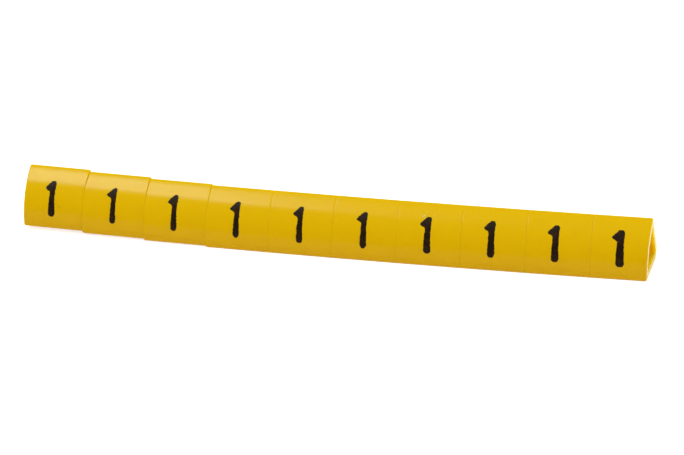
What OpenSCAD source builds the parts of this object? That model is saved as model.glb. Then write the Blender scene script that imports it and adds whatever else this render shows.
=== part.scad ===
// Strip of slide-on cable markers: one soft PVC tube of crowned triangular section,
// blade-cut almost through between the markers, which hang together by a thin web at the back.
// The strip lies on its lower flank: X runs along it, Z is up, the printed face looks to -Y.

/* [Markers] */
// Number of markers left on the strip
marker_count = 10; // [2:1:20]
// Length of one whole marker along the strip
marker_length = 4; // [3:0.1:8]
// Length left on the first marker, where the strip was cut from its reel
first_length = 3.85; // [2:0.05:8]
// Length left on the last marker, at the middle of its slanting cut
last_length = 3.6; // [2:0.05:8]
// Slant of the last cut, with the back of the tube left longer
end_slant = 4.5; // [0:0.5:10]

/* [Tube section] */
// Height of the printed face, over both of its corners
face_height = 3.9; // [3.4:0.1:5]
// Radius of the printed face's crown
crown_radius = 3.5; // [3:0.1:8]
// Radius of the two corners beside the printed face
corner_radius = 0.2; // [0.1:0.05:0.5]
// Angle of each flank against the chord of the printed face
flank_angle = 60.5; // [55:0.5:66]
// Radius of the rounded back, where the flanks meet
back_radius = 0.6; // [0.4:0.05:0.9]
// Thickness of the front wall and the flanks
wall = 0.48; // [0.3:0.01:0.6]
// Thickness of the tube at the middle of its back
back_wall = 0.45; // [0.42:0.01:0.6]
// Least radius of the passage's corners
passage_corner = 0.06; // [0.02:0.01:0.12]

/* [Cuts] */
// Width of the blade's cut at the web
cut_gap = 0.01; // [0.01:0.01:0.1]
// Width of the uncut web across the back
web_width = 0.4; // [0.2:0.05:0.6]
// Thickness of the uncut web
web_thickness = 0.16; // [0.08:0.01:0.2]
// Length by which the web reaches into each marker
web_root = 0.3; // [0.1:0.05:1]

/* [Lie of the strip] */
// Turn of each marker against the one before it, which opens the cuts at the front
bow_step = 0.4; // [0:0.05:1]
// Number of cuts, counted from the first marker, at which the strip has slipped
slipped_cuts = 3; // [0:1:5]
// Slip of the second marker down the face of the first, at the cut between them
first_slip = 0.12; // [0:0.01:0.18]
// Part of each slip that the next slipped cut repeats
slip_fade = 0.75; // [0:0.05:0.8]

/* [Hidden] */
pvc_yellow = "#dab60a";
$fn = 128;

last = marker_count - 1;
// Room by which a trimming outline or block clears the tube
clearance = 1;
// Hair's breadth by which crown and flanks lie inside the rounds that they run into
seat = 0.0001;

// Section in depth behind the crown and height above its middle; flanks by their outward normal
flank_normal = [cos(flank_angle), sin(flank_angle)];
crown_centre = [crown_radius, 0];
corner_height = face_height / 2 - corner_radius;
corner_centre = [
    crown_radius - sqrt((crown_radius - corner_radius) ^ 2 - corner_height ^ 2),
    corner_height
];
flank_offset = corner_centre * flank_normal + corner_radius;
back_depth = (flank_offset - back_radius) / flank_normal.x + back_radius;

// Passage: the same form, one wall further in, with its back corner as round as the back wall asks
passage_crown = crown_radius - wall;
passage_offset = flank_offset - wall;
back_sharpness = 1 / flank_normal.x - 1;
passage_back = max(
    passage_corner,
    (passage_offset / flank_normal.x - back_depth + back_wall) / back_sharpness
);
passage_depth = (passage_offset - passage_back) / flank_normal.x + passage_back;
passage_run = passage_offset - passage_corner - crown_radius * flank_normal.x;
passage_reach = sqrt((passage_crown - passage_corner) ^ 2 - passage_run ^ 2);
passage_centre = [
    crown_radius + passage_run * flank_normal.x - passage_reach * flank_normal.y,
    passage_run * flank_normal.y + passage_reach * flank_normal.x
];

// Lean of the printed face when the lower flank lies flat, and the web's place in the back wall
lean = 90 - flank_angle;
web_depth = (passage_depth + back_depth) / 2;
web_lift = flank_offset - web_depth * flank_normal.x;
web_overlap = cut_gap + 2 * web_root;

// Reach of the lying section in front of the web and behind it
corner_bearing = asin(corner_height / (crown_radius - corner_radius));
crown_front = crown_radius * (1 - cos(lean));
corner_front = corner_radius + corner_height * sin(lean) - corner_centre.x * cos(lean);
front_reach = web_depth * cos(lean) + (lean < corner_bearing ? crown_front : corner_front);
back_reach = back_radius + (back_depth - back_radius - web_depth) * cos(lean);
slant_reach = (back_reach - front_reach) / 2;

// Where each marker starts, how it is turned and how far its slips have raised it
function marker_size(k) = k == 0 ? first_length : k == last ? last_length : marker_length;
function turn(k) = bow_step * (k - last / 2);
function heading(k) = [cos(turn(k)), sin(turn(k))];
function start(k) = k == 0 ? [0, 0] : start(k - 1) + (marker_size(k - 1) + cut_gap) * heading(k - 1);
function slip(k) = k < slipped_cuts ? first_slip * slip_fade ^ k : 0;
function raised(k) = k == last ? 0 : slip(k) + raised(k + 1);
function raise_by(height) = [0, height * sin(lean), height * cos(lean)];
function end_y(k, along, across) =
    start(k).y + along * sin(turn(k)) + (across + raised(k) * sin(lean)) * cos(turn(k));

// Box of the whole strip on the table, from the corners of its markers
slanted = last_length + (back_reach - slant_reach) * tan(end_slant);
far_end = start(last) + slanted * heading(last) - back_reach * [sin(turn(last)), 0];
near_end = [-max(sin(turn(0)) * back_reach, -sin(turn(0)) * front_reach), 0];
front_ys = [for (k = [0 : last], s = [0, marker_size(k)]) end_y(k, s, -front_reach)];
back_ys = [for (k = [0 : last], s = [0, marker_size(k)]) end_y(k, s, back_reach)];
middle = [(near_end.x + far_end.x) / 2, (min(front_ys) + max(back_ys)) / 2];

// Triangle with a crowned front and three rounded corners, which run smoothly into the flanks
module crowned_triangle(crown, corner, corner_r, offset_r, back_r) {
    back = [(offset_r - back_r) / flank_normal.x, 0];
    bearing = (corner - crown_centre) / norm(corner - crown_centre);
    crown_end = crown_centre + crown * bearing;
    flank_start = corner + (corner_r - seat) * flank_normal;
    flank_end = back + (back_r - seat) * flank_normal;
    // Both long edges go on past the crown, on the chords of their corners
    front = crown_centre.x - crown - clearance;
    chord = (flank_start - crown_end) / (flank_start.x - crown_end.x);
    ahead = crown_end + (front - crown_end.x) * chord;
    upper = [ahead, flank_start, flank_end];
    lower = [for (i = [2 : -1 : 0]) [upper[i].x, -upper[i].y]];
    intersection() {
        polygon(concat(upper, lower));
        translate(crown_centre) circle(crown - seat);
    }
    for (side = [-1, 1]) translate([corner.x, side * corner.y]) circle(corner_r);
    translate(back) circle(back_r);
}

// Wall of the tube, lying on its lower flank, with the web's middle at the origin
module tube_section() {
    rotate(-lean) translate([-web_depth, 0]) difference() {
        crowned_triangle(crown_radius, corner_centre, corner_radius, flank_offset, back_radius);
        crowned_triangle(passage_crown, passage_centre, passage_corner, passage_offset, passage_back);
    }
}

// Puts a piece that runs along X from the web's line at marker k's place, turn and height
module at_marker(k, height) {
    place = start(k) - middle;
    translate([place.x, place.y, web_lift]) rotate(turn(k)) translate(raise_by(height)) children();
}

// Length of tube along X
module tube(length) {
    rotate([90, 0, 90]) linear_extrude(length) tube_section();
}

// Block that trims the last marker at a slant
module slant_cut() {
    block = 2 * (front_reach + back_reach) + clearance;
    translate([last_length, slant_reach, 0]) rotate(-end_slant)
        translate([0, -block / 2, -block / 2]) cube(block);
}

module marker(k) {
    at_marker(k, raised(k)) if (k == last) {
        difference() {
            tube(last_length + face_height * tan(end_slant));
            slant_cut();
        }
    } else {
        tube(marker_size(k));
    }
}

// Uncut web between marker k and the one before it, half way between their heights
module web(k) {
    at_marker(k, (raised(k) + raised(k - 1)) / 2)
        translate([-cut_gap / 2, 0, 0]) rotate([-lean, 0, 0])
            cube([web_overlap, web_thickness, web_width], center = true);
}

module marker_strip() {
    color(pvc_yellow) union() {
        for (k = [0 : last]) marker(k);
        for (k = [1 : last]) web(k);
    }
}

marker_strip();
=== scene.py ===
"""Strip of ten yellow slide-on cable markers with stamped numerals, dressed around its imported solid."""

import math
from collections import namedtuple

import bpy
from bpy.props import FloatProperty, FloatVectorProperty, IntProperty, PointerProperty
from bpy.types import NodeSocket, Operator, Panel, PropertyGroup
from mathutils import Matrix, Vector, noise


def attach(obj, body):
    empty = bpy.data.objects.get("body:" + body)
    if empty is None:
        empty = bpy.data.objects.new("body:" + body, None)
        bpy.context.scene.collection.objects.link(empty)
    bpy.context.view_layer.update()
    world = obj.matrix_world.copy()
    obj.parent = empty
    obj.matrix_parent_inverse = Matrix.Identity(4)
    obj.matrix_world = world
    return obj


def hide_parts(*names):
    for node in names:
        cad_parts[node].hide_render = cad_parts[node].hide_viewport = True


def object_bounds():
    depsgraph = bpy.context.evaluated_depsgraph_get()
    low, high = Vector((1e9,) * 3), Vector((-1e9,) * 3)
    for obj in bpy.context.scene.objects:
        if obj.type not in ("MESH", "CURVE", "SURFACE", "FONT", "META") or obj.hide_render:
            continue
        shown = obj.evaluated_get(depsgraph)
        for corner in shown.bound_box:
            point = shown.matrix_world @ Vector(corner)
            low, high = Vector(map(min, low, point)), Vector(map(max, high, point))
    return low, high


bl_info = {
    "name": "Cable marker strip",
    "version": (1, 0, 0),
    "blender": (4, 5, 0),
    "location": "3D View > Sidebar > Markers",
    "description": "Builds a strip of slide-on cable markers with stamped numerals around its solid",
    "category": "Add Mesh",
}

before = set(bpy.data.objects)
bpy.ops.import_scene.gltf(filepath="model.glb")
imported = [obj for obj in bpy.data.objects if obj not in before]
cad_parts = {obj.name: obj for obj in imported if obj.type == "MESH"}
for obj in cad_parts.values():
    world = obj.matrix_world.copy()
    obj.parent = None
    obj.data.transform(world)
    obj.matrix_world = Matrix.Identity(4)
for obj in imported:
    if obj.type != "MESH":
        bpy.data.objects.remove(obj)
CAD_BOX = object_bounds()

NODE = "marker_strip"
BODY = "root"
MM = 0.001

# How finely the strip's mesh follows its section and its length
CROWN_STEPS = 48
CORNER_STEPS = 8
FLANK_STEPS = 6
BACK_STEPS = 20
LENGTH_STEPS = 8
EDGE_STEPS = 3

# Powers by which a slipped cut's skew and its drawn-in shoulder fade down the face, and how far up towards
# the corner its lip is at its finest
SKEW_FADE = 2
SHOULDER_FADE = 12
FINE_LIP = 0.5

# Weight by which the strip's large faces rule the shading of its small ones: 50 is neutral, 100 the most
FLATNESS = 100

# Order of the strip's materials
SKIN, CUT, PASSAGE = range(3)

# How finely a numeral's mesh follows its outline
NUMERAL_ROWS = 110
NUMERAL_COLUMNS = 12

# Outline of the numeral 1, from its top down, in millimetres: height above the middle of the crown,
# measured round it, and the left and right edge beside the middle of the stem
NUMERAL_OUTLINE = (
    (1.07, -0.05, 0.06),
    (1.02, -0.13, 0.14),
    (0.92, -0.23, 0.18),
    (0.66, -0.47, 0.185),
    (0.58, -0.51, 0.185),
    (0.50, -0.48, 0.18),
    (0.39, -0.27, 0.175),
    (0.28, -0.20, 0.175),
    (-0.10, -0.205, 0.18),
    (-0.90, -0.225, 0.23),
    (-1.07, -0.215, 0.22),
    (-1.19, -0.15, 0.155),
    (-1.25, -0.05, 0.06),
)

# How each numeral was stamped, in millimetres: off the middle of its marker, up, and spread of the ink
STAMPING = (
    (-0.08, -0.04, 0.0),
    (-0.01, 0.0, -0.025),
    (-0.05, 0.0, -0.015),
    (-0.05, -0.02, -0.015),
    (-0.04, 0.0, -0.01),
    (-0.03, -0.015, -0.005),
    (-0.05, -0.02, 0.015),
    (-0.10, 0.03, 0.02),
    (-0.17, 0.04, 0.02),
    (-0.02, 0.01, 0.05),
)

# Where in the noise a numeral's left and right edge take their dents, and a step off the whole numbers, at
# which the noise is always zero
DENT_SIDES = (0.25, 7.75)
OFF_WHOLE = 0.5

# Crumbs that cling to the strip: marker, then in millimetres how far along it and how far up round its
# crown, half length, half width and height, then the turn in degrees and the material
SPECKS = (
    (0, 2.38, -0.60, 0.03, 0.025, 0.01, 20, "hot_stamped_ink"),
    (0, 1.39, 0.48, 0.045, 0.035, 0.02, 0, "blade_cut_pvc_painted_sheen"),
    (6, 1.64, 1.09, 0.13, 0.06, 0.03, 35, "blade_cut_pvc_painted_sheen"),
    (6, 2.25, 1.14, 0.06, 0.03, 0.02, 0, "blade_cut_pvc_painted_sheen"),
)
SPECK_SIDES = 14

# How a crumb sits in the face: height of its foot and its rim in millimetres, the part of its width that
# its top keeps, and how uneven its outline is
SPECK_FOOT = -0.008
SPECK_RIM = -0.004
SPECK_TOP = 0.6
SPECK_UNEVEN = 0.5

# Widths, lengths and depths of the materials' patterns
PVC_MOTTLE = 0.7 * MM
SKIN_GRAIN = 0.13 * MM
SKIN_GRAIN_DEPTH = 0.0009 * MM
DIE_LINE = 0.16 * MM
DIE_LINE_LENGTH = 16.0 * MM
DIE_LINE_DEPTH = 0.0006 * MM
BLADE_LINE = 0.06 * MM
BLADE_LINE_LENGTH = 1.0 * MM
BLADE_LINE_DEPTH = 0.002 * MM
PASSAGE_MOTTLE = 0.4 * MM
PASSAGE_MOTTLE_DEPTH = 0.006 * MM
INK_COVER = 0.22 * MM
INK_COVER_DEPTH = 0.002 * MM

# Sides of the round card, width of the camera's sensor in millimetres, and its nearest sight in metres
CARD_SIDES = 64
SENSOR_WIDTH = 36.0
NEAREST = 0.01


def linear(code):
    """Linear colour, with full alpha, of an sRGB hex code such as #d9ae05."""
    parts = [int(code[i:i + 2], 16) / 255 for i in (1, 3, 5)]
    return [c / 12.92 if c <= 0.04045 else ((c + 0.055) / 1.055) ** 2.4 for c in parts] + [1.0]


def length(name, description, millimetres):
    """Property for a length, given in millimetres and kept in metres."""
    return FloatProperty(name=name, description=description, default=millimetres * MM, unit="LENGTH",
                         precision=5)


def angle(name, description, degrees):
    """Property for an angle, given in degrees and kept in radians."""
    return FloatProperty(name=name, description=description, default=math.radians(degrees),
                         subtype="ANGLE")


def number(name, description, value):
    """Property for a plain number."""
    return FloatProperty(name=name, description=description, default=value)


def colour(name, description, code):
    """Property for a colour, given as an sRGB hex code and kept linear."""
    return FloatVectorProperty(name=name, description=description, default=linear(code), size=4,
                               subtype="COLOR", min=0.0, max=1.0)


class TubeSizes(PropertyGroup):
    """Sizes of the tube and its markers."""

    marker_count: IntProperty(name="Markers", description="Number of markers on the strip", default=10)
    marker_length: length("Marker length", "Length of one whole marker along the strip", 4.0)
    first_length: length("First marker", "Length left on the first marker", 3.85)
    last_length: length("Last marker", "Length left on the last marker, at the middle of its slant", 3.6)
    end_slant: angle("End slant", "Slant of the last cut, with the back left longer", 4.5)
    face_height: length("Face height", "Height of the printed face over both corners", 3.9)
    crown_radius: length("Crown radius", "Radius of the printed face's crown", 3.5)
    corner_radius: length("Corner radius", "Radius of the corners beside the printed face", 0.2)
    flank_angle: angle("Flank angle", "Angle of each flank against the face's chord", 60.5)
    back_radius: length("Back radius", "Radius of the rounded back", 0.6)
    wall: length("Wall", "Thickness of the front wall and the flanks", 0.48)
    back_wall: length("Back wall", "Thickness of the tube at the middle of its back", 0.45)
    passage_corner: length("Passage corner", "Radius of the passage's front corners", 0.06)
    cut_gap: length("Cut gap", "Width of the blade's cut at the web", 0.01)
    web_width: length("Web width", "Width of the uncut web across the back", 0.4)
    web_thickness: length("Web thickness", "Thickness of the uncut web", 0.16)
    lip_width: length("Lip width", "Width of the soft edge that the blade drew in beside a cut", 0.05)
    lip_turn: angle("Lip turn", "Angle by which that edge is drawn in", 35.0)
    free_draw: number("Free draw", "Times that the last cut's edge is drawn in further", 3.0)
    slip_draw: number("Slip draw", "Times that an edge is drawn in further where it stands out", 3.5)
    slip_lip: number("Slip lip", "Part of that drawing-in that is left high on a slipped cut", 0.3)
    slip_skew: length("Slip skew", "How far the first slipped cut runs askew at the top of the face", 0.11)
    end_round: length("End round", "Radius of the edges at the first marker's free end", 0.09)
    edge_hold: length("Edge hold", "Length along which a cut edge's shading runs out", 0.05)
    lip_gap: length("Lip gap", "Gap left between two cut edges that lean on each other", 0.002)


class LieSizes(PropertyGroup):
    """How the strip lies on the table."""

    bow_step: angle("Bow", "Turn of each marker against the one before it", 0.4)
    slipped_cuts: IntProperty(name="Slipped cuts", description="Cuts at which the strip slipped",
                              default=3)
    first_slip: length("First slip", "Slip of the second marker down the face of the first", 0.12)
    slip_fade: FloatProperty(name="Slip fade", description="Part of each slip that the next cut repeats",
                             default=0.75, subtype="FACTOR")


class NumeralSizes(PropertyGroup):
    """How the ink of the numerals lies on the crown."""

    film: length("Ink film", "Height of the stamped film above the face", 0.008)
    root: length("Ink root", "Depth of the film's edge below the face", 0.004)
    ragged: length("Ragged edge", "Depth of the unevenness along the film's edge", 0.04)
    ragged_pitch: length("Ragged pitch", "Distance between two dents in the film's edge", 0.075)


class Finishes(PropertyGroup):
    """Colours of the strip, its ink, the card and the softbox."""

    pvc: colour("PVC", "Yellow of the extruded tube", "#daac00")
    pvc_deep: colour("PVC, deep", "Deeper yellow in the mottling of the tube", "#d7a700")
    # The passage's yellow is brighter than the tube's: painted light, as if lit through the wall
    passage: colour("Passage", "Orange yellow of the passage's wall, lit through the tube", "#ffca00")
    # The cut face's pale cream is a painted reflection of the bright card and the lamps
    cut: colour("Cut face", "Pale yellow of a blade-cut face", "#cccb8e")
    ink: colour("Ink", "Black of the stamped numerals", "#1a0c03")
    ink_thin: colour("Ink, thin", "Brown-black where the film is thin", "#341c08")
    card: colour("Card", "Buff of the card that the strip lies on", "#f3e4c2")
    softbox: colour("Softbox", "Daylight of the softbox, a little cooler than the room", "#f0fff6")


class StageSizes(PropertyGroup):
    """Camera and lamps."""

    elevation: angle("Camera elevation", "Height of the view above the table", 26.744)
    azimuth: angle("Camera azimuth", "Turn of the view towards +X", 12.516)
    roll: angle("Camera roll", "Turn of the camera about its own axis", -1.045)
    distance: length("Camera distance", "From the camera to the point that it looks at", 217.68)
    look_x: length("Look-at X", "Point that the camera looks at, along the strip", 0.372)
    look_z: length("Look-at Z", "Point that the camera looks at, above the table", 1.185)
    lens: FloatProperty(name="Lens", description="Focal length in millimetres on a 36 mm sensor",
                        default=183.62, unit="CAMERA")
    softbox_height: length("Softbox height", "Height of the softbox above the table", 600.0)
    softbox_left: length("Softbox left", "Left edge of the softbox", -400.0)
    softbox_right: length("Softbox right", "Right edge of the softbox", -150.0)
    softbox_front: length("Softbox front", "Front edge of the softbox", -320.0)
    softbox_rear: length("Softbox rear", "Rear edge of the softbox", 10.0)
    softbox_level: number("Softbox level", "Brightness of the softbox's cloth, 1 is white", 16.0)
    fill_x: length("Fill X", "Middle of the fill light, to the right of the strip", 600.0)
    fill_y: length("Fill Y", "Middle of the fill light, in front of the strip", -300.0)
    fill_z: length("Fill Z", "Middle of the fill light, above the table", 300.0)
    fill_size: length("Fill size", "Side of the square fill and back lights", 560.0)
    fill_level: number("Fill level", "Brightness of the fill light's cloth, 1 is white", 1.6)
    back_x: length("Back light X", "Middle of the back light, to the right of the strip", 520.0)
    back_y: length("Back light Y", "Middle of the back light, behind the strip", 260.0)
    back_z: length("Back light Z", "Middle of the back light, above the table", 290.0)
    back_level: number("Back light level", "Brightness of the back light's cloth, 1 is white", 1.9)
    ceiling_level: number("Ceiling level", "Brightness of the ceiling, 1 is white", 0.45)
    wall_level: number("Wall level", "Brightness of the room's walls, 1 is white", 0.18)
    card_glow: number("Card glow", "What the card adds of its own to look white", 0.76)
    card_radius: length("Card radius", "Radius of the card", 3000.0)


class MarkerSettings(PropertyGroup):
    """All settings of the marker strip."""

    tube: PointerProperty(type=TubeSizes)
    lie: PointerProperty(type=LieSizes)
    numerals: PointerProperty(type=NumeralSizes)
    finishes: PointerProperty(type=Finishes)
    stage: PointerProperty(type=StageSizes)


# The tube and its lie

Rounds = namedtuple("Rounds", "crown corner corner_radius back back_radius")


def arc(centre, radius, first, last, steps):
    """Points of an arc, by angles from the front, turning upwards."""
    turns = [first + (last - first) * i / steps for i in range(steps + 1)]
    return [centre + radius * Vector((-math.cos(t), math.sin(t))) for t in turns]


def between(a, b, steps):
    """Points strictly between two others."""
    return [a.lerp(b, i / steps) for i in range(1, steps)]


class Tube:
    """Section of the tube: depth behind the crown and height above its middle."""

    def __init__(self, s):
        self.flank = s.flank_angle
        self.crown_centre = Vector((s.crown_radius, 0.0))
        normal = Vector((math.cos(self.flank), math.sin(self.flank)))
        sharpness = 1 / normal.x - 1

        height = s.face_height / 2 - s.corner_radius
        depth = s.crown_radius - math.sqrt((s.crown_radius - s.corner_radius) ** 2 - height ** 2)
        corner = Vector((depth, height))
        offset = corner.dot(normal) + s.corner_radius
        back = Vector(((offset - s.back_radius) / normal.x, 0.0))
        self.outer = Rounds(s.crown_radius, corner, s.corner_radius, back, s.back_radius)
        self.back_depth = back.x + s.back_radius

        # The passage is the same form, one wall further in
        inner_crown = s.crown_radius - s.wall
        inner_offset = offset - s.wall
        tip = (inner_offset / normal.x - self.back_depth + s.back_wall) / sharpness
        inner_back_radius = max(s.passage_corner, tip)
        inner_back = Vector(((inner_offset - inner_back_radius) / normal.x, 0.0))
        run = inner_offset - s.passage_corner - s.crown_radius * normal.x
        reach = math.sqrt((inner_crown - s.passage_corner) ** 2 - run ** 2)
        inner_corner = self.crown_centre + run * normal + reach * Vector((-normal.y, normal.x))
        self.passage = Rounds(inner_crown, inner_corner, s.passage_corner, inner_back, inner_back_radius)

        self.lean = math.pi / 2 - self.flank
        self.web_depth = (inner_back.x + inner_back_radius + self.back_depth) / 2
        self.web_lift = offset - self.web_depth * normal.x

    def outline(self, rounds, grow):
        """Closed outline of the tube or its passage, made larger by grow all round."""
        front = math.atan2(rounds.corner.y, self.crown_centre.x - rounds.corner.x)
        side = math.pi - self.flank
        whole = 2 * math.pi
        low_corner = Vector((rounds.corner.x, -rounds.corner.y))
        corner_radius = rounds.corner_radius + grow
        crown = arc(self.crown_centre, rounds.crown + grow, -front, front, CROWN_STEPS)
        upper = arc(rounds.corner, corner_radius, front, side, CORNER_STEPS)
        back = arc(rounds.back, rounds.back_radius + grow, side, whole - side, BACK_STEPS)
        lower = arc(low_corner, corner_radius, whole - side, whole - front, CORNER_STEPS)
        flank_up = between(upper[-1], back[0], FLANK_STEPS)
        flank_down = between(back[-1], lower[0], FLANK_STEPS)
        return crown[:-1] + upper + flank_up + back + flank_down + lower[:-1]

    def crown_point(self, round_height, film):
        """Point on the crown at a height measured round it, film above the face."""
        turn = round_height / self.outer.crown
        radius = self.outer.crown + film
        return self.crown_centre + radius * Vector((-math.cos(turn), math.sin(turn)))


class Strip:
    """The tube's markers where they lie on the table."""

    def __init__(self, settings):
        tube, lie = settings.tube, settings.lie
        self.sizes = tube
        self.tube = Tube(tube)
        self.last = tube.marker_count - 1
        self.lengths = [tube.marker_length] * tube.marker_count
        self.lengths[0] = tube.first_length
        self.lengths[self.last] = tube.last_length
        self.half_bow = lie.bow_step / 2
        self.turns = [lie.bow_step * (k - self.last / 2) for k in range(tube.marker_count)]
        self.slips = [lie.slip_fade ** k if k < lie.slipped_cuts else 0.0 for k in range(self.last)]
        self.raised = [lie.first_slip * sum(self.slips[k:]) for k in range(tube.marker_count)]
        self.starts = [Vector((0.0, 0.0))]
        for k in range(self.last):
            heading = Vector((math.cos(self.turns[k]), math.sin(self.turns[k])))
            self.starts.append(self.starts[k] + (self.lengths[k] + tube.cut_gap) * heading)
        self.closing = (tube.cut_gap - tube.lip_gap) / 2
        self.slant_middle = self.middle_of_slant()
        self.centre_on_solid()

    def across(self, k, point):
        """Distance of a section's point behind the web's line, once marker k lies on its flank."""
        lean = self.tube.lean
        behind = (point.x - self.tube.web_depth) * math.cos(lean)
        return behind + (point.y + self.raised[k]) * math.sin(lean)

    def middle_of_slant(self):
        """Where, across the last marker, its slanting cut leaves it at its stated length."""
        reach = [self.across(self.last, p) for p in self.tube.outline(self.tube.outer, 0.0)]
        return (min(reach) + max(reach)) / 2

    def skew(self, cut, point):
        """How far a cut runs askew along the strip, which it does only high on a slipped one's face."""
        rise = min(max(point.y / self.tube.outer.corner.y, 0.0), 1.0)
        return self.sizes.slip_skew * self.slips[cut] * rise ** SKEW_FADE

    def near_end(self, k, point):
        """Where marker k starts along itself: at its reel cut, or leaning on the marker before it."""
        if k == 0:
            return 0.0
        return self.across(k, point) * math.tan(self.half_bow) - self.closing + self.skew(k - 1, point)

    def far_end(self, k, point):
        """Where marker k ends along itself: at its slanting cut, or leaning on the next marker."""
        behind = self.across(k, point)
        if k == self.last:
            return self.lengths[k] + (behind - self.slant_middle) * math.tan(self.sizes.end_slant)
        return self.lengths[k] - behind * math.tan(self.half_bow) + self.closing + self.skew(k, point)

    def lay(self, k, along, point):
        """Place on the table of a section's point of marker k."""
        lean = self.tube.lean
        behind = self.across(k, point)
        up = (self.tube.web_depth - point.x) * math.sin(lean) + (point.y + self.raised[k]) * math.cos(lean)
        c, s = math.cos(self.turns[k]), math.sin(self.turns[k])
        x = self.starts[k].x + along * c - behind * s
        y = self.starts[k].y + along * s + behind * c
        return Vector((x, y, up + self.tube.web_lift))

    def centre_on_solid(self):
        """Shifts the strip so that its box lies on the solid's box."""
        outline = self.tube.outline(self.tube.outer, 0.0)
        places = [self.lay(k, end(k, p), p) for k in range(self.last + 1) for p in outline
                  for end in (self.near_end, self.far_end)]
        low, high = CAD_BOX
        shift = Vector([(low[i] + high[i] - min(p[i] for p in places) - max(p[i] for p in places)) / 2
                        for i in (0, 1)])
        self.starts = [start + shift for start in self.starts]


# Meshes

def new_piece(name, verts, faces, materials, indices=None):
    """Mesh object with smooth faces, each in its material slot."""
    mesh = bpy.data.meshes.new(name)
    mesh.from_pydata(verts, [], faces)
    for material in materials:
        mesh.materials.append(material)
    if indices:
        mesh.polygons.foreach_set("material_index", indices)
    mesh.polygons.foreach_set("use_smooth", [True] * len(mesh.polygons))
    if mesh.validate():
        raise RuntimeError(name + " has faces that are not valid")
    piece = bpy.data.objects.new(name, mesh)
    bpy.context.collection.objects.link(piece)
    return piece


def edge_rings(width, turn):
    """Inset and setback of the rings that draw an edge in by an angle, from the cut face on."""
    radius = width / math.sin(turn)
    turns = [turn * (1 - i / EDGE_STEPS) for i in range(EDGE_STEPS + 1)]
    return [(radius * (1 - math.cos(t)), width - radius * math.sin(t)) for t in turns]


def drawn_in(strip, cut, outline, up):
    """Times that an edge is drawn in at each point of an outline.

    Most at the last cut, which is free. A slipped cut is fine high on the face, and drawn in further at
    the shoulder where its marker stands out, at the top (up 1) or at the bottom (up -1).
    """
    sizes = strip.sizes
    if cut == strip.last:
        return [sizes.free_draw] * len(outline)
    share = strip.slips[cut] if cut >= 0 else 0.0
    top = strip.tube.outer.corner.y
    draws = []
    for p in outline:
        high = min(max(p.y / (FINE_LIP * top), 0.0), 1.0)
        shoulder = min(max(up * p.y / top, 0.0), 1.0) ** SHOULDER_FADE
        draws.append(1 + share * ((sizes.slip_lip - 1) * high + (sizes.slip_draw - 1) * shoulder))
    return draws


def wall_rings(strip, k, rounds, sign):
    """Rings along the outside of marker k (sign -1), or its passage (sign 1), from near end to far end."""
    sizes = strip.sizes
    lip = (sizes.lip_width, sizes.lip_turn)
    near_edge = lip if k else (sizes.end_round, math.pi / 2)
    outline = strip.tube.outline(rounds, 0.0)
    near_draw, far_draw = drawn_in(strip, k - 1, outline, -1), drawn_in(strip, k, outline, 1)

    def drawn_ring(inset, setback, draws, end, inwards):
        """Ring of an edge, drawn in at each point as far as the edge is there."""
        shrunk = strip.tube.outline(rounds, sign * inset)
        points = [p + (q - p) * d for p, q, d in zip(outline, shrunk, draws)]
        return [strip.lay(k, end(k, p) + inwards * setback * d, p) for p, d in zip(points, draws)]

    near = [drawn_ring(*ring, near_draw, strip.near_end, 1) for ring in edge_rings(*near_edge)]
    far = [drawn_ring(*ring, far_draw, strip.far_end, -1) for ring in reversed(edge_rings(*lip))]
    hold = sizes.edge_hold
    first = [strip.near_end(k, p) + near_edge[0] * d + hold for p, d in zip(outline, near_draw)]
    final = [strip.far_end(k, p) - lip[0] * d - hold for p, d in zip(outline, far_draw)]
    middle = []
    for i in range(LENGTH_STEPS + 1):
        share = i / LENGTH_STEPS
        middle.append([strip.lay(k, a + (b - a) * share, p) for p, a, b in zip(outline, first, final)])
    return near + middle + far


def web_rings(strip, outer, inner):
    """The two rings of a cut face that bound its web, between the face's outer and inner ring."""
    half = strip.sizes.web_thickness / strip.sizes.back_wall / 2
    return [[a.lerp(b, share) for a, b in zip(outer, inner)] for share in (0.5 - half, 0.5 + half)]


def web_columns(strip):
    """Columns of the section's mesh that the web takes up, at the middle of the back."""
    points = strip.tube.outline(strip.tube.outer, 0.0)
    inner = strip.tube.outline(strip.tube.passage, 0.0)
    middle = [a.lerp(b, 0.5) for a, b in zip(points, inner)]
    half = strip.sizes.web_width / 2
    inside = [p.x > strip.tube.outer.back.x and abs(p.y) <= half for p in middle]
    return [i for i in range(len(middle) - 1) if inside[i] and inside[i + 1]]


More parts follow.
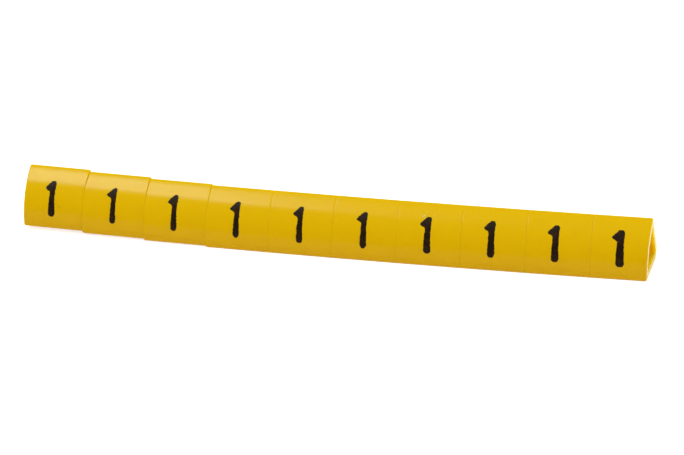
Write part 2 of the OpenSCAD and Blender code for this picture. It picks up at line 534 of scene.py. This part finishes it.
def build_strip(strip, materials):
    """One closed mesh: ten marker shells, joined through the webs in their cut faces."""
    verts, faces, indices, rims = [], [], [], set()
    columns = web_columns(strip)
    far_web = None
    for k in range(strip.last + 1):
        outside = wall_rings(strip, k, strip.tube.outer, -1)
        inside = wall_rings(strip, k, strip.tube.passage, 1)
        near = web_rings(strip, outside[0], inside[0])
        far = web_rings(strip, outside[-1], inside[-1])
        rings = outside + far + inside[::-1] + near[::-1]
        width = len(rings[0])
        base = len(verts)
        verts += [v for ring in rings for v in ring]
        starts = [base + i * width for i in range(len(rings))]

        # The rims of both cut faces, at the skin and at the passage, stay sharp
        first_inside = len(outside) + len(far)
        last_inside = first_inside + len(inside) - 1
        for r in (0, len(outside) - 1, first_inside, last_inside):
            rims.update(range(starts[r], starts[r] + width))

        # Each of the two cut faces is three bands of quads. The middle one holds the web. Only the outer
        # one, at the skin, keeps the colour of the tube; the other two take the cut face's painted
        # reflection.
        far_band, near_band = len(outside), len(rings) - 2
        painted_sheen_bands = (far_band, far_band + 1, near_band - 1, near_band)
        passage = range(first_inside, last_inside)
        for r, ring in enumerate(starts):
            following = starts[(r + 1) % len(starts)]
            for i in range(width):
                open_far = r == far_band and k < strip.last and i in columns
                open_near = r == near_band and k > 0 and i in columns
                if open_far or open_near:
                    continue
                j = (i + 1) % width
                faces.append((ring + i, following + i, following + j, ring + j))
                indices.append(CUT if r in painted_sheen_bands else PASSAGE if r in passage else SKIN)

        # Walls of the web that comes from the marker before
        near_outer, near_inner = starts[near_band + 1], starts[near_band]
        if far_web:
            rim = [(0, i) for i in columns] + [(0, columns[-1] + 1)]
            rim += [(1, i + 1) for i in reversed(columns)] + [(1, columns[0])]
            here = [(near_outer, near_inner)[side] + i for side, i in rim]
            there = [far_web[side] + i for side, i in rim]
            for i in range(len(rim)):
                j = (i + 1) % len(rim)
                faces.append((there[i], here[i], here[j], there[j]))
                indices.append(CUT)
        far_web = (starts[far_band], starts[far_band + 1])
    piece = new_piece("printed_tube", verts, faces, materials, indices)
    for edge in piece.data.edges:
        edge.use_edge_sharp = rims.issuperset(edge.vertices)
    return piece


def smooth_through(rows, height):
    """Left and right edge of an outline at a height, on a smooth curve through its rows."""
    i = next(i for i in range(len(rows) - 1) if height >= rows[i + 1][0] or i == len(rows) - 2)
    above, below = rows[i], rows[i + 1]
    share = (above[0] - height) / (above[0] - below[0])
    edges = []
    for side in (1, 2):
        slopes = []
        for at in (i, i + 1):
            before, after = rows[max(at - 1, 0)], rows[min(at + 1, len(rows) - 1)]
            slopes.append((after[side] - before[side]) / (before[0] - after[0]))
        span = above[0] - below[0]
        a, b = above[side], below[side]
        curve = (2 * share ** 3 - 3 * share ** 2 + 1) * a + (3 * share ** 2 - 2 * share ** 3) * b
        curve += span * (share ** 3 - 2 * share ** 2 + share) * slopes[0]
        curve += span * (share ** 3 - share ** 2) * slopes[1]
        edges.append(curve)
    return edges


def build_numeral(strip, k, sizes, material):
    """Film of ink in the shape of a 1 on the crown of marker k, closed and rooted in the face."""
    shift, lift, spread = [v * MM for v in STAMPING[k]]
    top, bottom = NUMERAL_OUTLINE[0][0], NUMERAL_OUTLINE[-1][0]
    middle = strip.lengths[k] / 2 + shift
    skin, root = [], []
    for r in range(NUMERAL_ROWS + 1):
        height = top + (bottom - top) * r / NUMERAL_ROWS
        left, right = [e * MM for e in smooth_through(NUMERAL_OUTLINE, height)]
        up = height * MM + lift
        places = [Vector((up / sizes.ragged_pitch, k + OFF_WHOLE, side)) for side in DENT_SIDES]
        dents = [noise.noise(place) for place in places]
        left -= spread + sizes.ragged * dents[0]
        right += spread + sizes.ragged * dents[1]
        for c in range(NUMERAL_COLUMNS + 1):
            share = c / NUMERAL_COLUMNS
            rim = c in (0, NUMERAL_COLUMNS) or r in (0, NUMERAL_ROWS)
            film = -sizes.root if rim else sizes.film
            along = middle + left + (right - left) * share
            skin.append(strip.lay(k, along, strip.tube.crown_point(up, film)))
            root.append(strip.lay(k, along, strip.tube.crown_point(up, -2 * sizes.root)))
    width = NUMERAL_COLUMNS + 1
    count = len(skin)
    faces = []
    for r in range(NUMERAL_ROWS):
        for c in range(NUMERAL_COLUMNS):
            a = r * width + c
            quad = (a, a + width, a + width + 1, a + 1)
            faces.append(quad)
            faces.append(tuple(count + v for v in reversed(quad)))
    rim = list(range(width))
    rim += [r * width + NUMERAL_COLUMNS for r in range(1, NUMERAL_ROWS + 1)]
    rim += [NUMERAL_ROWS * width + c for c in reversed(range(NUMERAL_COLUMNS))]
    rim += [r * width for r in reversed(range(1, NUMERAL_ROWS))]
    for i, a in enumerate(rim):
        b = rim[(i + 1) % len(rim)]
        faces.append((a, b, count + b, count + a))
    return new_piece("numeral_%02d" % (k + 1), skin + root, faces, [material])


def build_speck(strip, index):
    """Low crumb with an uneven rim on a marker's crown, closed and rooted in the face."""
    k, along, up, half_length, half_width, height, turn, material = SPECKS[index]
    c, s = math.cos(math.radians(turn)), math.sin(math.radians(turn))
    verts, faces = [], []
    for size, film in ((1.0, SPECK_FOOT), (1.0, SPECK_RIM), (SPECK_TOP, height), (0.0, height)):
        for i in range(SPECK_SIDES if size else 1):
            t = 2 * math.pi * i / SPECK_SIDES
            place = Vector((math.cos(t), math.sin(t), index + OFF_WHOLE))
            reach = size * (1 + SPECK_UNEVEN * noise.noise(place))
            x, y = half_length * reach * math.cos(t), half_width * reach * math.sin(t)
            point = strip.tube.crown_point((up + x * s + y * c) * MM, film * MM)
            verts.append(strip.lay(k, (along + x * c - y * s) * MM, point))
    faces.append(tuple(reversed(range(SPECK_SIDES))))
    for i in range(SPECK_SIDES):
        j = (i + 1) % SPECK_SIDES
        for ring in (0, SPECK_SIDES):
            faces.append((ring + i, ring + j, ring + SPECK_SIDES + j, ring + SPECK_SIDES + i))
        faces.append((2 * SPECK_SIDES + i, 2 * SPECK_SIDES + j, 3 * SPECK_SIDES))
    return new_piece("speck_%02d" % (index + 1), verts, faces, [bpy.data.materials[material]])


# Materials

def add_node(tree, kind, inputs=None, **settings):
    """Adds a node with its settings, and sets or links its inputs."""
    node = tree.nodes.new(kind)
    for name, value in settings.items():
        setattr(node, name, value)
    for name, value in (inputs or {}).items():
        if isinstance(value, NodeSocket):
            tree.links.new(value, node.inputs[name])
        else:
            node.inputs[name].default_value = value
    return node


def new_material(name):
    """Empty node material, its tree and its output."""
    material = bpy.data.materials.new(name)
    material.use_nodes = True
    tree = material.node_tree
    tree.nodes.clear()
    return material, tree, add_node(tree, "ShaderNodeOutputMaterial")


def extruded_pvc(finishes):
    """Soft PVC, extruded through a die and left as it came.

    A satin skin with a blurred but well edged highlight, a fine grain in that highlight, faint die lines
    along the tube, and a colour that hardly varies because the pigment goes right through.
    """
    material, tree, output = new_material("extruded_soft_pvc")
    place = add_node(tree, "ShaderNodeTexCoord").outputs["Object"]
    mottle = add_node(tree, "ShaderNodeTexNoise", {"Vector": place, "Scale": 1 / PVC_MOTTLE,
                                                   "Detail": 3.0})
    shade = add_node(tree, "ShaderNodeMix", {"Factor": mottle.outputs["Fac"], 6: finishes.pvc,
                                             7: finishes.pvc_deep}, data_type="RGBA")
    # The grain of the skin is about 0.02 mm on the real tube, and is drawn coarser so that it shows
    grain = add_node(tree, "ShaderNodeTexNoise", {"Vector": place, "Scale": 1 / SKIN_GRAIN,
                                                  "Detail": 2.0})
    stretch = (DIE_LINE / DIE_LINE_LENGTH, 1.0, 1.0)
    drawn = add_node(tree, "ShaderNodeMapping", {"Vector": place, "Scale": stretch})
    lines = add_node(tree, "ShaderNodeTexNoise", {"Vector": drawn.outputs["Vector"],
                                                  "Scale": 1 / DIE_LINE, "Detail": 2.0})
    fine = add_node(tree, "ShaderNodeBump", {"Height": grain.outputs["Fac"], "Strength": 1.0,
                                             "Distance": SKIN_GRAIN_DEPTH})
    relief = add_node(tree, "ShaderNodeBump", {"Height": lines.outputs["Fac"], "Strength": 1.0,
                                               "Distance": DIE_LINE_DEPTH,
                                               "Normal": fine.outputs["Normal"]})
    gloss = add_node(tree, "ShaderNodeMapRange", {"Value": grain.outputs["Fac"], "To Min": 0.15,
                                                  "To Max": 0.2})
    shader = add_node(tree, "ShaderNodeBsdfPrincipled", {
        "Base Color": shade.outputs[2], "Roughness": gloss.outputs["Result"], "IOR": 1.5,
        "Specular IOR Level": 0.1, "Subsurface Weight": 0.12, "Subsurface Radius": (1.0, 0.8, 0.2),
        "Subsurface Scale": 0.12 * MM, "Normal": relief.outputs["Normal"]})
    tree.links.new(shader.outputs["BSDF"], output.inputs["Surface"])
    return material


def blade_cut_pvc_painted_sheen(finishes):
    """The same PVC where a blade has gone through it.

    Paler than the skin, with fine straight blade lines. The pale cream is a painted reflection of the
    bright card and the lamps, which the cut face catches at a grazing angle.
    """
    material, tree, output = new_material("blade_cut_pvc_painted_sheen")
    place = add_node(tree, "ShaderNodeTexCoord").outputs["Object"]
    # Blade lines lie a few hundredths of a millimetre apart, and run down the face
    stretch = (1.0, 1.0, BLADE_LINE / BLADE_LINE_LENGTH)
    drawn = add_node(tree, "ShaderNodeMapping", {"Vector": place, "Scale": stretch})
    lines = add_node(tree, "ShaderNodeTexNoise", {"Vector": drawn.outputs["Vector"],
                                                  "Scale": 1 / BLADE_LINE, "Detail": 2.0})
    relief = add_node(tree, "ShaderNodeBump", {"Height": lines.outputs["Fac"], "Strength": 1.0,
                                               "Distance": BLADE_LINE_DEPTH})
    # Painted reflection: the cut face's pale cream, striped with the tube's yellow along the blade lines
    shade = add_node(tree, "ShaderNodeMix", {"Factor": lines.outputs["Fac"], 6: finishes.cut,
                                             7: finishes.pvc}, data_type="RGBA")
    shader = add_node(tree, "ShaderNodeBsdfPrincipled", {
        "Base Color": shade.outputs[2], "Roughness": 0.38, "IOR": 1.5, "Subsurface Weight": 0.1,
        "Subsurface Radius": (1.0, 0.6, 0.1), "Subsurface Scale": 0.2 * MM,
        "Normal": relief.outputs["Normal"]})
    tree.links.new(shader.outputs["BSDF"], output.inputs["Surface"])
    return material


def passage_pvc(finishes):
    """The wall of the passage, which met no die on its way out and set in the air.

    Duller and softer than the skin, and lit through the wall in its subsurface scatter. Its base colour,
    brighter and more orange than the skin's, adds painted light, so that it glows a little orange.
    """
    material, tree, output = new_material("air_set_soft_pvc_painted_glow")
    place = add_node(tree, "ShaderNodeTexCoord").outputs["Object"]
    mottle = add_node(tree, "ShaderNodeTexNoise", {"Vector": place, "Scale": 1 / PASSAGE_MOTTLE,
                                                   "Detail": 3.0})
    relief = add_node(tree, "ShaderNodeBump", {"Height": mottle.outputs["Fac"], "Strength": 1.0,
                                               "Distance": PASSAGE_MOTTLE_DEPTH})
    # Painted light: the passage's brighter orange yellow, mottled with the tube's yellow
    shade = add_node(tree, "ShaderNodeMix", {"Factor": mottle.outputs["Fac"], 6: finishes.passage,
                                             7: finishes.pvc}, data_type="RGBA")
    shader = add_node(tree, "ShaderNodeBsdfPrincipled", {
        "Base Color": shade.outputs[2], "Roughness": 0.5, "IOR": 1.5, "Specular IOR Level": 0.11,
        "Subsurface Weight": 1.0, "Subsurface Radius": (1.0, 0.75, 0.15), "Subsurface Scale": 1.7 * MM,
        "Normal": relief.outputs["Normal"]})
    tree.links.new(shader.outputs["BSDF"], output.inputs["Surface"])
    return material


def stamped_ink(finishes):
    """Black pigment foil, hot-stamped on the PVC.

    Dull and nearly black, a little brown where the foil went on thin, and slightly uneven.
    """
    material, tree, output = new_material("hot_stamped_ink")
    place = add_node(tree, "ShaderNodeTexCoord").outputs["Object"]
    cover = add_node(tree, "ShaderNodeTexNoise", {"Vector": place, "Scale": 1 / INK_COVER, "Detail": 3.0})
    thin = add_node(tree, "ShaderNodeMapRange", {"Value": cover.outputs["Fac"], "From Min": 0.45,
                                                 "From Max": 0.8})
    shade = add_node(tree, "ShaderNodeMix", {"Factor": thin.outputs["Result"], 6: finishes.ink,
                                             7: finishes.ink_thin}, data_type="RGBA")
    relief = add_node(tree, "ShaderNodeBump", {"Height": cover.outputs["Fac"], "Strength": 1.0,
                                               "Distance": INK_COVER_DEPTH})
    shader = add_node(tree, "ShaderNodeBsdfPrincipled", {
        "Base Color": shade.outputs[2], "Roughness": 0.45, "IOR": 1.5, "Specular IOR Level": 0.1,
        "Normal": relief.outputs["Normal"]})
    tree.links.new(shader.outputs["BSDF"], output.inputs["Surface"])
    return material


def buff_card(finishes, glow):
    """Matt buff card, calendered and uncoated.

    Even and without gloss. It adds a glow of its own, so that it looks white to the camera, in a
    reflection, and through anything clear.
    """
    material, tree, output = new_material("matt_buff_card")
    path = add_node(tree, "ShaderNodeLightPath").outputs
    seen = add_node(tree, "ShaderNodeMath", {0: path["Is Camera Ray"], 1: path["Is Glossy Ray"]},
                    operation="MAXIMUM")
    seen = add_node(tree, "ShaderNodeMath", {0: seen.outputs[0], 1: path["Is Transmission Ray"]},
                    operation="MAXIMUM")
    level = add_node(tree, "ShaderNodeMath", {0: seen.outputs[0], 1: glow}, operation="MULTIPLY")
    shine = add_node(tree, "ShaderNodeEmission", {"Strength": level.outputs[0]})
    matt = add_node(tree, "ShaderNodeBsdfDiffuse", {"Color": finishes.card})
    both = add_node(tree, "ShaderNodeAddShader", {0: matt.outputs["BSDF"], 1: shine.outputs["Emission"]})
    tree.links.new(both.outputs["Shader"], output.inputs["Surface"])
    return material


# Stage

def add_card(settings):
    """Round card under the strip."""
    radius = settings.stage.card_radius
    turns = [2 * math.pi * i / CARD_SIDES for i in range(CARD_SIDES)]
    verts = [(radius * math.cos(t), radius * math.sin(t), 0.0) for t in turns]
    material = buff_card(settings.finishes, settings.stage.card_glow)
    card = new_piece("card", verts, [tuple(range(CARD_SIDES))], [material])


def add_lamp(name, place, aim, width, depth, level, tint=(1.0, 1.0, 1.0)):
    """Flat cloth-covered lamp of even brightness, which the camera doesn't see."""
    lamp = bpy.data.lights.new(name, "AREA")
    lamp.shape = "RECTANGLE"
    lamp.size = width
    lamp.size_y = depth
    lamp.energy = level * math.pi * width * depth
    lamp.color = tint
    holder = bpy.data.objects.new(name, lamp)
    facing = (place - aim).to_track_quat("Z", "Y").to_matrix()
    holder.matrix_world = Matrix.Translation(place) @ facing.to_4x4()
    holder.visible_camera = False
    bpy.context.collection.objects.link(holder)


def add_lamps(stage, tint):
    """Softbox above the strip, to the left and in front of it, and two lamps beyond its right end."""
    left, right = stage.softbox_left, stage.softbox_right
    front, rear = stage.softbox_front, stage.softbox_rear
    below = Vector(((left + right) / 2, (front + rear) / 2, 0.0))
    above = below + Vector((0.0, 0.0, stage.softbox_height))
    add_lamp("softbox", above, below, right - left, rear - front, stage.softbox_level, tint)
    origin = Vector((0.0, 0.0, 0.0))
    beside = Vector((stage.fill_x, stage.fill_y, stage.fill_z))
    add_lamp("fill", beside, origin, stage.fill_size, stage.fill_size, stage.fill_level)
    behind = Vector((stage.back_x, stage.back_y, stage.back_z))
    add_lamp("back_light", behind, origin, stage.fill_size, stage.fill_size, stage.back_level)


def add_room(stage):
    """Soft light from the room around, with a ceiling that is brighter than the walls."""
    world = bpy.data.worlds.new("room")
    world.use_nodes = True
    tree = world.node_tree
    tree.nodes.clear()
    direction = add_node(tree, "ShaderNodeTexCoord").outputs["Generated"]
    height = add_node(tree, "ShaderNodeSeparateXYZ", {"Vector": direction})
    level = add_node(tree, "ShaderNodeMapRange", {"Value": height.outputs["Z"], "To Min": stage.wall_level,
                                                  "To Max": stage.ceiling_level})
    sky = add_node(tree, "ShaderNodeBackground", {"Strength": level.outputs["Result"]})
    add_node(tree, "ShaderNodeOutputWorld", {"Surface": sky.outputs["Background"]})
    bpy.context.scene.world = world


def add_camera(stage):
    """Camera at the photograph's viewing angle."""
    e, a, r = stage.elevation, stage.azimuth, stage.roll
    back = Vector((math.sin(a) * math.cos(e), -math.cos(a) * math.cos(e), math.sin(e)))
    level = Vector((math.cos(a), math.sin(a), 0.0))
    upright = back.cross(level)
    right = level * math.cos(r) + upright * math.sin(r)
    up = upright * math.cos(r) - level * math.sin(r)
    lens = bpy.data.cameras.new("camera")
    lens.lens = stage.lens
    lens.sensor_width = SENSOR_WIDTH
    lens.clip_start = NEAREST
    camera = bpy.data.objects.new("camera", lens)
    turn = Matrix((right, up, back)).transposed()
    place = Vector((stage.look_x, 0.0, stage.look_z)) + back * stage.distance
    camera.matrix_world = Matrix.Translation(place) @ turn.to_4x4()
    bpy.context.collection.objects.link(camera)
    bpy.context.scene.camera = camera


# Operators

class MARKERS_OT_strip(Operator):
    """Build the yellow tube with its blade cuts, in place of its solid"""

    bl_idname = "markers.strip"
    bl_label = "Marker strip"

    def execute(self, context):
        settings = context.scene.marker_strip
        finishes = settings.finishes
        strip = Strip(settings)
        materials = [extruded_pvc(finishes), blade_cut_pvc_painted_sheen(finishes), passage_pvc(finishes)]
        piece = build_strip(strip, materials)
        weighted = piece.modifiers.new("flat_faces_stay_flat", "WEIGHTED_NORMAL")
        weighted.weight = FLATNESS
        weighted.keep_sharp = True
        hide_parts(NODE)
        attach(piece, BODY)
        return {"FINISHED"}


class MARKERS_OT_numerals(Operator):
    """Stamp a numeral 1 on every marker"""

    bl_idname = "markers.numerals"
    bl_label = "Numerals"

    def execute(self, context):
        settings = context.scene.marker_strip
        strip = Strip(settings)
        material = stamped_ink(settings.finishes)
        for k in range(strip.last + 1):
            piece = build_numeral(strip, k, settings.numerals, material)
            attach(piece, BODY)
        return {"FINISHED"}


class MARKERS_OT_specks(Operator):
    """Lay the crumbs of ink and cut PVC that cling to the strip, after the strip and its numerals"""

    bl_idname = "markers.specks"
    bl_label = "Specks"

    def execute(self, context):
        strip = Strip(context.scene.marker_strip)
        for index in range(len(SPECKS)):
            piece = build_speck(strip, index)
            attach(piece, BODY)
        return {"FINISHED"}


class MARKERS_OT_stage(Operator):
    """Set up the card, the lamps, the room's light and the camera"""

    bl_idname = "markers.stage"
    bl_label = "Stage"

    def execute(self, context):
        settings = context.scene.marker_strip
        add_card(settings)
        add_lamps(settings.stage, settings.finishes.softbox[:3])
        add_room(settings.stage)
        add_camera(settings.stage)
        context.scene.view_settings.view_transform = "Standard"
        return {"FINISHED"}


class VIEW3D_PT_markers(Panel):
    """Sizes and colours of the strip, and the steps that build it"""

    bl_label = "Cable marker strip"
    bl_space_type = "VIEW_3D"
    bl_region_type = "UI"
    bl_category = "Markers"

    def draw(self, context):
        settings = context.scene.marker_strip
        for group in (settings.tube, settings.lie, settings.numerals, settings.finishes, settings.stage):
            box = self.layout.box()
            for name in group.__annotations__:
                box.prop(group, name)
        for operator in OPERATORS:
            self.layout.operator(operator.bl_idname)


GROUPS = (TubeSizes, LieSizes, NumeralSizes, Finishes, StageSizes, MarkerSettings)
OPERATORS = (MARKERS_OT_strip, MARKERS_OT_numerals, MARKERS_OT_specks, MARKERS_OT_stage)


def register():
    for item in GROUPS + OPERATORS + (VIEW3D_PT_markers,):
        bpy.utils.register_class(item)
    bpy.types.Scene.marker_strip = PointerProperty(type=MarkerSettings)


def unregister():
    del bpy.types.Scene.marker_strip
    for item in reversed(GROUPS + OPERATORS + (VIEW3D_PT_markers,)):
        bpy.utils.unregister_class(item)


def main():
    register()
    bpy.ops.markers.stage()
    bpy.ops.markers.strip()
    bpy.ops.markers.numerals()
    bpy.ops.markers.specks()


if __name__ == "__main__":
    main()
